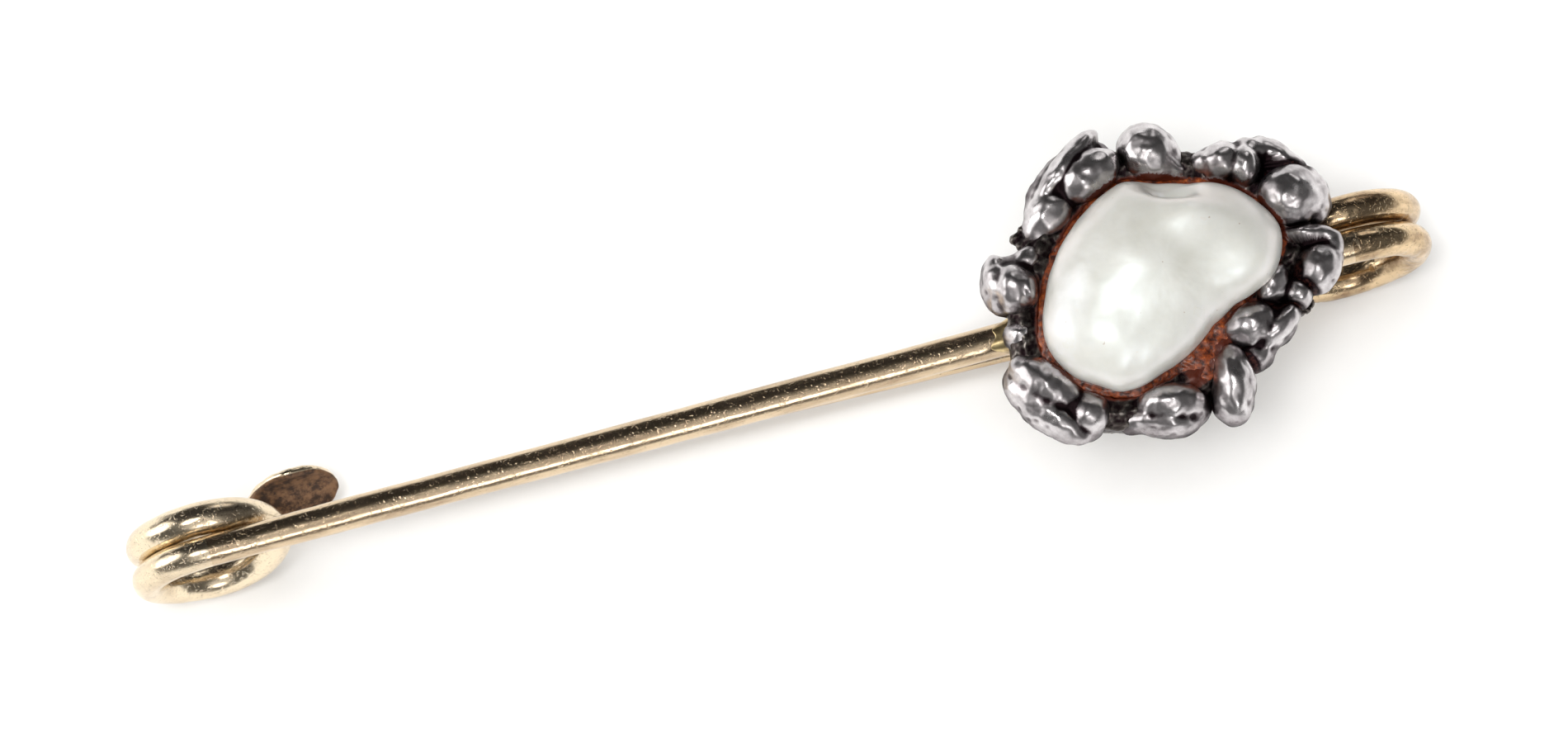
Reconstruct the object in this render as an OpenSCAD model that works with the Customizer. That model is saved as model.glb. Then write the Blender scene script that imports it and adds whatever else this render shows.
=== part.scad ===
// Bar pin: a gold wire bar wound into a catch at one end and a spring at the other,
// with a sprung pin stem behind it and a baroque pearl in a cluster of silver nuggets.
// The origin is on the axis of the straight stem, at its middle; +X runs along the bar
// towards the spring, and +Z points away from the wearer, through the pearl.

/* [Bar] */
// Distance over both coils, end to end
overall_length = 60; // [59:0.5:62]
// Radius of the bar where it meets the catch coil
bar_r_catch = 0.70; // [0.62:0.01:0.70]
// Radius of the bar where it meets the spring coil
bar_r_spring = 0.77; // [0.70:0.01:0.78]
// Height of the bar's axis over the middle of the pin stem
bar_z = 5.88; // [5.8:0.01:5.95]
// Offset of the bar's axis to the side of the stem's middle
bar_y = -1.06; // [-1.1:0.01:-1.02]

/* [Coils] */
// Winding radius of the catch coil, to the wire's centre
catch_coil_r = 2.98; // [2.95:0.01:3.02]
// Winding radius of the spring coil, to the wire's centre
spring_coil_r = 3.2; // [3.15:0.01:3.25]
// Step from one turn of the catch coil to the next
catch_pitch = 1.5; // [1.5:0.01:1.55]
// Step from one turn of the spring coil to the next
spring_pitch = 1.6; // [1.57:0.01:1.65]
// Wire radius of the catch's last turn
catch_r_last = 0.66; // [0.64:0.01:0.67]
// Wire radius of the spring's last turn, drawn thinner towards the stem
spring_r_last = 0.64; // [0.6:0.01:0.66]

/* [Pin stem] */
// Radius of the straight stem
stem_r = 0.475; // [0.45:0.005:0.48]
// Reach of the straight stem along the bar, of constant radius
stem_reach = 27; // [26:0.5:27]
// Reach of the taper from the straight stem to the point
point_reach = 9.6; // [9:0.1:9.7]
// Radius of the rounded point
point_r = 0.12; // [0.1:0.01:0.16]
// Sideways lean of the stem towards +Y, per millimetre along the bar
stem_lean = 0.0193; // [0.019:0.0001:0.0196]
// Rise of the stem towards the bar, per millimetre along the bar
stem_rise = 0.0348; // [0.0335:0.0001:0.035]

/* [Catch hook] */
// Inside radius of the hook's trough
hook_r = 1.5; // [1.45:0.01:1.6]
// Thickness of the flattened wire
hook_wall = 0.42; // [0.35:0.01:0.45]
// Half the length of the leaf that the wire's end is flattened to
leaf_r = 2.1; // [2.0:0.05:2.2]

/* [Setting] */
// Middle of the cluster, along the bar from the middle of the object
head_out = 17.2; // [17:0.1:17.3]
// Radius of the back plate's rounded corners
plate_r = 3.4; // [3.2:0.1:3.5]
// Thickness of the back plate
plate_t = 1.1; // [1:0.05:1.2]
// Height of the pearl above its widest outline
pearl_dome = 2.5; // [2.3:0.1:2.8]
// Depth of the pearl below its widest outline
pearl_seat = 1.1; // [0.9:0.05:1.2]
// Gap between the pearl's outline and the silver, filled with cement
cement_gap = 0.5; // [0.4:0.05:0.55]

/* [Hidden] */
mid_x = 0.5;
catch_x = mid_x - overall_length / 2 + catch_coil_r + bar_r_catch;
spring_x = mid_x + overall_length / 2 - spring_coil_r - bar_r_spring;
catch_y = bar_y + catch_pitch;
spring_y = bar_y + spring_pitch;
catch_back_z = bar_z - 2 * catch_coil_r;
spring_back_z = bar_z - 2 * spring_coil_r;

head_x = mid_x + head_out;
plate_z = bar_z + 0.4;
plate_top = plate_z + plate_t;
pearl_x = head_x - 0.1;
pearl_y = bar_y + 0.18;
pearl_z = plate_top + 1.6;

// Distance from the pearl's centre to its outline, every 30 degrees from +X
pearl_radii = [5.5, 5.3, 4.5, 4.45, 4.4, 4.55, 5.3, 5.95, 5.2, 3.85, 3.2, 3.75];
pearl_sides = 48;
pearl_rings = 9;
nugget_sides = 20;
nugget_rings = 11;

// Each nugget: name, its middle from the cluster's on the bar's axis, half its length,
// width and height, the heading of its length, and how much that length bends
nuggets = [
    ["nugget_knob", [-6.50, 1.66, 2.5], [1.35, 1.42, 1.45], 0, 0],
    ["nugget_bean", [-3.0, 5.35, 2.6], [2.75, 1.45, 1.5], 34, -0.05],
    ["nugget_dome", [1.0, 5.75, 2.3], [1.55, 1.5, 1.4], 72, 0],
    ["nugget_crumpled", [4.55, 4.2, 2.5], [1.65, 1.4, 1.5], -32, -0.05],
    ["nugget_ball", [6.8, 2.3, 2.9], [1.5, 1.5, 1.5], -60, 0],
    ["nugget_shoulder", [7.05, -0.8, 2.4], [1.5, 1.15, 1.3], 75, 0],
    ["nugget_finger", [5.35, -2.0, 2.9], [1.15, 0.55, 0.9], 52, 0],
    ["nugget_cheek", [3.65, -3.5, 2.35], [1.55, 1.25, 1.3], 20, 0],
    ["nugget_thumb", [1.8, -5.45, 2.2], [1.5, 0.9, 1.2], 70, 0],
    ["nugget_heel", [-1.2, -5.6, 2.4], [1.75, 1.35, 1.4], -5, 0.02],
    ["nugget_foot", [-5.85, -4.1, 2.4], [2.75, 1.55, 1.5], -42, 0.03],
    ["nugget_crumb", [-6.85, -0.6, 2.1], [0.75, 0.6, 0.8], 60, 0],
];

gold = [0.80, 0.66, 0.42];
silver = [0.66, 0.65, 0.64];
dark_silver = [0.35, 0.33, 0.33];
nacre = [0.92, 0.91, 0.86];
rust = [0.42, 0.18, 0.08];

// A closed solid through rings of points: the first and last rings are closed by a fan.
module ring_solid(rings) {
    sides = len(rings[0]);
    count = len(rings);
    points = [for (ring = rings) each ring];
    walls = [
        for (i = [0:count - 2], j = [0:sides - 1])
        let (k = (j + 1) % sides)
        each [
            [i * sides + j, (i + 1) * sides + j, (i + 1) * sides + k],
            [i * sides + j, (i + 1) * sides + k, i * sides + k],
        ]
    ];
    first_cap = [for (j = [1:sides - 2]) [0, j, j + 1]];
    last = (count - 1) * sides;
    last_cap = [for (j = [1:sides - 2]) [last, last + j + 1, last + j]];
    polyhedron(points = points, faces = concat(walls, first_cap, last_cap), convexity = 4);
}

// Half a turn of wire about the Y axis: side -1 is the half at -X, side +1 the half at +X.
module half_turn(winding_r, wire_r, side) {
    rotate([90, 0, 0])
        rotate([0, 0, side < 0 ? 90 : -90])
            rotate_extrude(angle = 180, $fn = 96)
                translate([winding_r, 0]) circle(r = wire_r, $fn = 48);
}

// One and a half turns that step along +Y by pitch on the side away from the coil's end.
module coil(winding_r, pitch, side, r_first, r_middle, r_last) {
    tilt = atan(pitch / 2 / winding_r);
    half_turn(winding_r, r_first, side);
    translate([0, pitch / 2, 0])
        rotate([-tilt, 0, 0])
            half_turn(norm([winding_r, pitch / 2]), r_middle, -side);
    translate([0, pitch, 0]) half_turn(winding_r, r_last, side);
}

module bar_wire() {
    translate([catch_x, bar_y, bar_z])
        rotate([0, 90, 0])
            cylinder(h = spring_x - catch_x, r1 = bar_r_catch, r2 = bar_r_spring, $fn = 64);
}

module front_bar() {
    color(gold) bar_wire();
}

module catch_coil() {
    color(gold)
        translate([catch_x, bar_y, bar_z - catch_coil_r])
            coil(catch_coil_r, catch_pitch, -1, bar_r_catch, 0.68, catch_r_last);
}

module spring_coil() {
    color(gold)
        translate([spring_x, bar_y, bar_z - spring_coil_r])
            coil(spring_coil_r, spring_pitch, 1, bar_r_spring, 0.72, spring_r_last);
}

// The middle of the stem's wire at a given x, on its straight stretch.
function stem_at(x) = [x, -stem_lean * x, -stem_rise * x];

// Stands its children, drawn along +Z from the origin, on the line from one point to another.
module along(from, to) {
    reach = to - from;
    translate(from)
        rotate([0, acos(reach[2] / norm(reach)), atan2(reach[1], reach[0])])
            children();
}

// The straight stem, its taper and its rounded point, turned about +Z.
module stem_blank(straight, taper) {
    rotate_extrude($fn = 64)
        polygon([
            [0, 0],
            [stem_r, 0],
            [stem_r, straight],
            [point_r, straight + taper],
            [point_r * 0.7, straight + taper + point_r * 0.7],
            [0, straight + taper + point_r],
        ]);
}

// The stem leaves the spring a little thicker and steps over under the bar; then it is
// straight, and ends in a long taper.
module pin_stem() {
    root = [spring_x - 0.06, spring_y, spring_back_z];
    back = stem_at(stem_reach / 2);
    sunk = stem_at(stem_reach / 2 - 0.4);
    tip = stem_at(-stem_reach / 2 - point_reach);
    straight = norm(stem_at(stem_reach));
    color(gold) {
        along(root, sunk) cylinder(h = norm(sunk - root), r1 = spring_r_last, r2 = stem_r - 0.04, $fn = 64);
        along(back, tip) stem_blank(straight, norm(tip - back) - straight);
    }
}

// The wire's end is flattened to a leaf and rolled up into a trough that cradles the point.
module catch_hook() {
    trough_y = bar_y + 1.71;
    trough_z = catch_back_z + hook_r + 0.13;
    leaf_x = catch_x + 4.15;
    floor_angle = -3;
    rim_angle = 112;
    mid_angle = (floor_angle + rim_angle) / 2;
    color(gold) {
        intersection() {
            translate([leaf_x, trough_y, trough_z])
                rotate([0, 90, 0])
                    rotate([0, 0, floor_angle])
                        rotate_extrude(angle = rim_angle - floor_angle, $fn = 96)
                            translate([hook_r, -leaf_r]) square([hook_wall, 2 * leaf_r]);
            translate([leaf_x, trough_y, trough_z])
                rotate([mid_angle, 0, 0])
                    rotate([180, 0, 0])
                        cylinder(h = 4, r = leaf_r, $fn = 96);
        }
        hull() {
            translate([catch_x + 0.02, catch_y, catch_back_z])
                rotate([0, 90, 0]) cylinder(h = 0.05, r = catch_r_last - 0.01, $fn = 32);
            translate([leaf_x - 1.6, trough_y - 0.02, trough_z - hook_r - hook_wall / 2])
                cube([0.05, 0.9, hook_wall * 0.7], center = true);
        }
    }
}

// The plate's outline: three discs under the ring of nuggets, drawn into one.
module plate_blank(depth) {
    translate([head_x, bar_y, plate_z])
        linear_extrude(height = depth)
            hull() {
                translate([-3.2, -1.2]) circle(r = plate_r, $fn = 64);
                translate([-1, 2.6]) circle(r = 0.88 * plate_r, $fn = 64);
                translate([4.6, 0.9]) circle(r = 0.65 * plate_r, $fn = 64);
            }
}

module back_plate() {
    color(dark_silver)
        difference() {
            plate_blank(plate_t);
            bar_wire();
        }
}

// Solder drawn in along the bar: a collar that flares up to the plate's edge.
module solder_flare() {
    color([0.78, 0.72, 0.55])
        difference() {
            translate([head_x - 7.5, bar_y, bar_z])
                rotate([0, 90, 0])
                    cylinder(h = 1.3, r1 = 0.80, r2 = 1.1, $fn = 64);
            bar_wire();
            translate([0, 0, -2]) plate_blank(6);
        }
}

// Catmull-Rom through the ring of radii, so the outline is smooth all the way round.
function pearl_outline(a) =
    let (
        n = len(pearl_radii),
        u = (a % 360) / (360 / n),
        i = floor(u),
        t = u - i,
        p0 = pearl_radii[(i + n - 1) % n],
        p1 = pearl_radii[i % n],
        p2 = pearl_radii[(i + 1) % n],
        p3 = pearl_radii[(i + 2) % n]
    )
    0.5 * (2 * p1 + (p2 - p0) * t + (2 * p0 - 5 * p1 + 4 * p2 - p3) * t * t
        + (3 * p1 - p0 - 3 * p2 + p3) * t * t * t);

function pearl_ring(share, z, grow = 0) = [
    for (j = [0:pearl_sides - 1])
    let (a = 360 * j / pearl_sides, r = (pearl_outline(a) + grow) * share)
    [pearl_x + r * cos(a), pearl_y + r * sin(a), z]
];

// Rings of the pearl's underside, from the girdle down to its flat seat.
function seat_rings(grow) = [
    for (i = [0:3])
    let (a = 70 * i / 3)
    pearl_ring(0.35 + 0.65 * cos(a), pearl_z - pearl_seat * sin(a) / sin(70), grow)
];

module pearl() {
    dome = [
        for (i = [pearl_rings:-1:1])
        let (a = 86 * i / pearl_rings)
        pearl_ring(pow(cos(a), 0.8), pearl_z + pearl_dome * sin(a))
    ];
    color(nacre) ring_solid(concat(dome, seat_rings(0)));
}

// Cement fills the cup under and around the pearl, up to its girdle.
module cement_bed() {
    inside = seat_rings(0.02);
    rim_z = pearl_z - 0.12;
    color(rust)
        ring_solid([
            for (i = [3:-1:1]) inside[i],
            pearl_ring(1, rim_z, 0.04),
            pearl_ring(1, rim_z, cement_gap - 0.04),
            pearl_ring(1, plate_top, cement_gap - 0.04),
        ]);
}

// Keeps a point out of the cement's cup by moving it straight out from the pearl's centre.
function outside_cup(p) =
    let (
        dx = p[0] - pearl_x,
        dy = p[1] - pearl_y,
        a = (atan2(dy, dx) + 360) % 360,
        r = norm([dx, dy]),
        least = pearl_outline(a) + cement_gap + 0.02,
        k = r < least ? least / r : 1
    )
    [pearl_x + dx * k, pearl_y + dy * k, p[2]];

// A melted nugget: a lumpy, slightly squared ellipsoid that sits flat on the back plate.
function nugget_point(n, u, v, seed) =
    let (
        half = n[2],
        lump = 1 + 0.05 * sin(2 * u + 67 * seed) * cos(v) + 0.04 * sin(3 * u + 131 * seed) * cos(v) * cos(v),
        square = pow(abs(cos(v)), 0.85),
        x = half[0] * square * cos(u) * lump,
        y = half[1] * square * sin(u) * lump + n[4] * x * x,
        z = half[2] * sin(v),
        c = cos(n[3]),
        s = sin(n[3]),
        p = [head_x, bar_y, bar_z] + n[1] + [x * c - y * s, x * s + y * c, z]
    )
    outside_cup([p[0], p[1], max(p[2], plate_top)]);

module nugget(n, seed) {
    color(silver)
        ring_solid([
            for (i = [0:nugget_rings])
            let (v = 84 - 168 * i / nugget_rings)
            [for (j = [0:nugget_sides - 1]) nugget_point(n, 360 * j / nugget_sides, v, seed)]
        ]);
}

front_bar();
catch_coil();
catch_hook();
spring_coil();
pin_stem();
back_plate();
solder_flare();
cement_bed();
pearl();
for (i = [0:len(nuggets) - 1])
    nugget(nuggets[i], i);
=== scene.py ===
import math

import bmesh
import bpy
import numpy as np
from mathutils import Matrix, Vector, noise


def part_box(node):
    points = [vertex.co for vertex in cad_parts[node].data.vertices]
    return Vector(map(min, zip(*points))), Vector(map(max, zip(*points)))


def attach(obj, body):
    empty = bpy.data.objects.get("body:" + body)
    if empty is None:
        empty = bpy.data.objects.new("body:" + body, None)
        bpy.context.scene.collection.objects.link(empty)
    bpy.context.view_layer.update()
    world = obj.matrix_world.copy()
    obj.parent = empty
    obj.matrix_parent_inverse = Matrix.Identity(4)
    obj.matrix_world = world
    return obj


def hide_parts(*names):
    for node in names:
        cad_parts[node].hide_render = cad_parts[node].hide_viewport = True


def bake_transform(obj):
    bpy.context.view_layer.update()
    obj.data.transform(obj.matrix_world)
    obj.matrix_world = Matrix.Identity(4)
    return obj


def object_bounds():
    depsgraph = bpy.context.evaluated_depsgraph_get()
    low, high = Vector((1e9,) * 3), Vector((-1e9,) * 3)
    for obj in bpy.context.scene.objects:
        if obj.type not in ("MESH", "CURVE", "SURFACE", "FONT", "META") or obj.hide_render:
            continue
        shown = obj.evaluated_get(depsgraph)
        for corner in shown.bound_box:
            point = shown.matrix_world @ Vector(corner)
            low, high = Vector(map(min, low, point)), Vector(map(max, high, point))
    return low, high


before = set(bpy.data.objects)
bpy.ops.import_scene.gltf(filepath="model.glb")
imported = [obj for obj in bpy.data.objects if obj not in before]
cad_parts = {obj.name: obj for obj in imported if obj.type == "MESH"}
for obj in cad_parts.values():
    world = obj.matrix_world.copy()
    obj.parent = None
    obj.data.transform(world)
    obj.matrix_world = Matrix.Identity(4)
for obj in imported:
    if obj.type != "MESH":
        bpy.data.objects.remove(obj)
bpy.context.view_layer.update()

# Pieces are shaped in millimetres and made metres when they are fitted to the frame.
mm = 0.001
barLow, barHigh = (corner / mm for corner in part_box("front_bar"))
catchX, springX = barLow.x, barHigh.x
barY, barZ = (barLow.y + barHigh.y) / 2, (barLow.z + barHigh.z) / 2
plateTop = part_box("back_plate")[1].z / mm
head = Vector((17.7, barY, barZ))  # middle of the cluster, on the bar's axis
pearlX, pearlY = head.x - 0.1, head.y + 0.18
girdleZ = plateTop + 1.6  # height of the pearl's widest outline
joinOverlap = 0.3  # how far one wire runs into the next


def linear(hexColour):
    channels = [int(hexColour[i : i + 2], 16) / 255 for i in (1, 3, 5)]
    return tuple(c / 12.92 if c <= 0.04045 else ((c + 0.055) / 1.055) ** 2.4 for c in channels) + (1.0,)


def addNode(tree, kind, inputs=None, **settings):
    node = tree.nodes.new(kind)
    for name, value in settings.items():
        setattr(node, name, value)
    for key, value in (inputs or {}).items():
        if isinstance(value, bpy.types.NodeSocket):
            tree.links.new(value, node.inputs[key])
        else:
            node.inputs[key].default_value = value
    return node


def newMaterial(name):
    material = bpy.data.materials.new(name)
    material.use_nodes = True
    return material, material.node_tree, material.node_tree.nodes["Principled BSDF"]


def inMillimetres(tree):
    # where a spot lies on its piece, in mm, so that a pattern has its real size
    place = addNode(tree, "ShaderNodeTexCoord").outputs["Object"]
    return addNode(
        tree, "ShaderNodeVectorMath", {0: place, 1: (1000, 1000, 1000)}, operation="MULTIPLY"
    ).outputs[0]


def ease(t):
    # 0 to 1 with a soft start and end
    t = np.clip(t, 0.0, 1.0)
    return t * t * (3 - 2 * t)


def lumps(points, size, seed, octaves=2):
    # smooth noise from -1 to 1 whose bumps are about size millimetres across
    shift = Vector((17.3, 5.1, 9.7)) * seed
    return np.array([noise.fractal(Vector(p) / size + shift, 0.6, 2.0, octaves) for p in points])


def meshPiece(name, points, faces, material):
    mesh = bpy.data.meshes.new(name)
    mesh.from_pydata([tuple(float(c) for c in p) for p in points], [], faces)
    mesh.update()
    mesh.polygons.foreach_set("use_smooth", [True] * len(mesh.polygons))
    mesh.materials.append(material)
    piece = bpy.data.objects.new(name, mesh)
    bpy.context.scene.collection.objects.link(piece)
    return piece


def readPoints(mesh, what="co"):
    values = np.zeros(len(mesh.vertices) * 3, np.float32)
    mesh.vertices.foreach_get(what, values)
    return values.reshape(-1, 3).astype(float)


def writePoints(mesh, points):
    mesh.vertices.foreach_set("co", np.asarray(points, np.float32).ravel())
    mesh.update()


def store(mesh, name, values, kind="FLOAT"):
    layer = mesh.attributes.new(name, kind, "POINT")
    layer.data.foreach_set(
        "vector" if kind == "FLOAT_VECTOR" else "value", np.asarray(values, np.float32).ravel()
    )


def settle(piece):
    # turns what the modifiers make into the piece's own plain mesh
    graph = bpy.context.evaluated_depsgraph_get()
    finished = piece.evaluated_get(graph)
    made = bpy.data.meshes.new_from_object(finished, preserve_all_data_layers=True, depsgraph=graph)
    piece.modifiers.clear()
    old, piece.data = piece.data, made
    bpy.data.meshes.remove(old)
    made.name = piece.name


def fit(piece, slotName, *nodes, body="brooch"):
    piece.data.transform(Matrix.Scale(mm, 4))
    piece.data.update()
    if body:
        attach(piece, body)
    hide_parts(*nodes)
    print(piece.name, len(piece.data.polygons), "faces")


# Drawn and tarnished gold wire: a pale yellow metal under brown streaks and patches, with fine
# lines along the wire from drawing it and random nicks from wear. They break up the
# reflections, so that the wire looks old and handled. In every material here, the two numbers
# after a noise say at what height of it a patch starts and where it is complete.
def goldWire(name, look):
    material, tree, shader = newMaterial(name)
    inMm = inMillimetres(tree)
    wire = addNode(tree, "ShaderNodeAttribute", attribute_name="wireSpace").outputs["Vector"]
    drawn = addNode(
        tree, "ShaderNodeVectorMath", {0: wire, 1: (0.08, 1, 1)}, operation="MULTIPLY"
    ).outputs[0]
    streaked = addNode(
        tree, "ShaderNodeVectorMath", {0: wire, 1: (look["patchStretch"], 1, 1)}, operation="MULTIPLY"
    ).outputs[0]
    patch = addNode(
        tree,
        "ShaderNodeTexNoise",
        {"Vector": streaked, "Scale": 1 / look["patchSize"], "Detail": 5, "Roughness": 0.62},
    )
    tarnish = addNode(
        tree,
        "ShaderNodeMapRange",
        {
            0: patch.outputs["Fac"],
            1: look["patchFrom"],
            2: look["patchFrom"] + 0.26,
            4: look["tarnishShare"],
        },
    )
    grain = addNode(
        tree,
        "ShaderNodeTexNoise",
        {"Vector": inMm, "Scale": 1 / look["speckSize"], "Detail": 3, "Roughness": 0.7},
    )
    speck = addNode(
        tree, "ShaderNodeMapRange", {0: grain.outputs["Fac"], 1: 0.60, 2: 0.68, 4: look["speckShare"]}
    )
    lines = addNode(
        tree,
        "ShaderNodeTexNoise",
        {"Vector": drawn, "Scale": 1 / look["lineWidth"], "Detail": 2, "Roughness": 0.5},
    )
    nicks = addNode(
        tree,
        "ShaderNodeTexNoise",
        {"Vector": inMm, "Scale": 1 / look["nickSize"], "Detail": 1, "Distortion": 1.5},
    )
    nick = addNode(tree, "ShaderNodeMapRange", {0: nicks.outputs["Fac"], 1: 0.60, 2: 0.70})
    worn = addNode(
        tree,
        "ShaderNodeMix",
        {0: tarnish.outputs[0], 6: linear(look["bright"]), 7: linear(look["tarnish"])},
        data_type="RGBA",
    )
    dirty = addNode(
        tree,
        "ShaderNodeMix",
        {0: speck.outputs[0], 6: worn.outputs[2], 7: linear(look["grimeAndShade"])},
        data_type="RGBA",
    )
    # Painted shade: inside the catch's roll the wire is laid over with a dark, matte brown, where the
    # attribute read here says so.
    insideShade = addNode(tree, "ShaderNodeAttribute", attribute_name="grimeAndShade").outputs["Fac"]
    insideShadeEdge = addNode(
        tree, "ShaderNodeMath", {0: grain.outputs["Fac"], 1: 0.5, 2: insideShade}, operation="MULTIPLY_ADD"
    ).outputs[0]
    insideShadeCover = addNode(tree, "ShaderNodeMapRange", {0: insideShadeEdge, 1: 0.55, 2: 0.95}).outputs[0]
    blotches = addNode(
        tree, "ShaderNodeTexNoise", {"Vector": inMm, "Scale": 1.6, "Detail": 5, "Roughness": 0.7}
    ).outputs["Fac"]
    shadeBlotches = addNode(tree, "ShaderNodeMapRange", {0: blotches, 1: 0.42, 2: 0.58}).outputs[0]
    insideShadeColour = addNode(
        tree,
        "ShaderNodeMix",
        {0: shadeBlotches, 6: linear(look["insideShade"]), 7: linear(look["grimeAndShade"])},
        data_type="RGBA",
    )
    brown = addNode(
        tree, "ShaderNodeMix", {0: insideShadeCover, 6: dirty.outputs[2], 7: insideShadeColour.outputs[2]}, data_type="RGBA"
    )
    bare = addNode(tree, "ShaderNodeMapRange", {0: insideShadeCover, 3: 1.0, 4: 0.25}).outputs[0]
    shine = addNode(
        tree,
        "ShaderNodeMapRange",
        {0: patch.outputs["Fac"], 1: 0.35, 2: 0.7, 3: look["smoothest"], 4: look["roughest"]},
    )
    rough = addNode(
        tree, "ShaderNodeMath", {0: insideShadeCover, 1: 0.35, 2: shine.outputs[0]}, operation="MULTIPLY_ADD"
    )
    lineBump = addNode(
        tree,
        "ShaderNodeBump",
        {"Height": lines.outputs["Fac"], "Distance": look["lineDepth"] * mm, "Strength": 1},
    )
    nickBump = addNode(
        tree,
        "ShaderNodeBump",
        {"Height": nick.outputs[0], "Distance": -look["nickDepth"] * mm, "Normal": lineBump.outputs[0]},
    )
    tree.links.new(brown.outputs[2], shader.inputs["Base Color"])
    tree.links.new(bare, shader.inputs["Metallic"])
    tree.links.new(rough.outputs[0], shader.inputs["Roughness"])
    tree.links.new(nickBump.outputs[0], shader.inputs["Normal"])
    return material


goldFinish = {
    "bright": "#D9C3A4",
    "tarnish": "#7A5C44",
    # dark brown of the specks; this and the next brown also paint shade inside the catch's roll
    "grimeAndShade": "#3A2A20",
    "insideShade": "#7C5C42",
    "patchSize": 0.8,  # mm
    "patchStretch": 0.22,  # below 1 draws the patches out along the wire
    "patchFrom": 0.46,  # lower is more tarnish
    "tarnishShare": 0.55,
    "speckSize": 0.14,
    "speckShare": 0.25,
    "lineWidth": 0.09,  # real draw lines are finer; this is what still shows
    "lineDepth": 0.004,
    "nickSize": 0.22,
    "nickDepth": 0.006,
    "smoothest": 0.17,
    "roughest": 0.28,
}
barGold = goldWire("drawnGoldBar", goldFinish)
catchGold = goldWire(
    "drawnGoldCatch",
    dict(
        goldFinish,
        patchSize=1.2,
        patchStretch=0.5,
        patchFrom=0.44,
        speckShare=0.4,
        nickDepth=0.008,
        tarnishShare=0.38,
        bright="#EEDDC0",
        tarnish="#84603F",
    ),
)
springGold = goldWire(
    "drawnGoldSpring",
    dict(
        goldFinish,
        patchSize=1.0,
        patchStretch=0.5,
        patchFrom=0.40,
        speckShare=0.55,
        nickDepth=0.008,
        tarnishShare=0.72,
        bright="#E2C8A2",
        tarnish="#6B4A30",
    ),
)
stemGold = goldWire("drawnGoldStem", dict(goldFinish, tarnish="#B99668", lineDepth=0.005))


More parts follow.
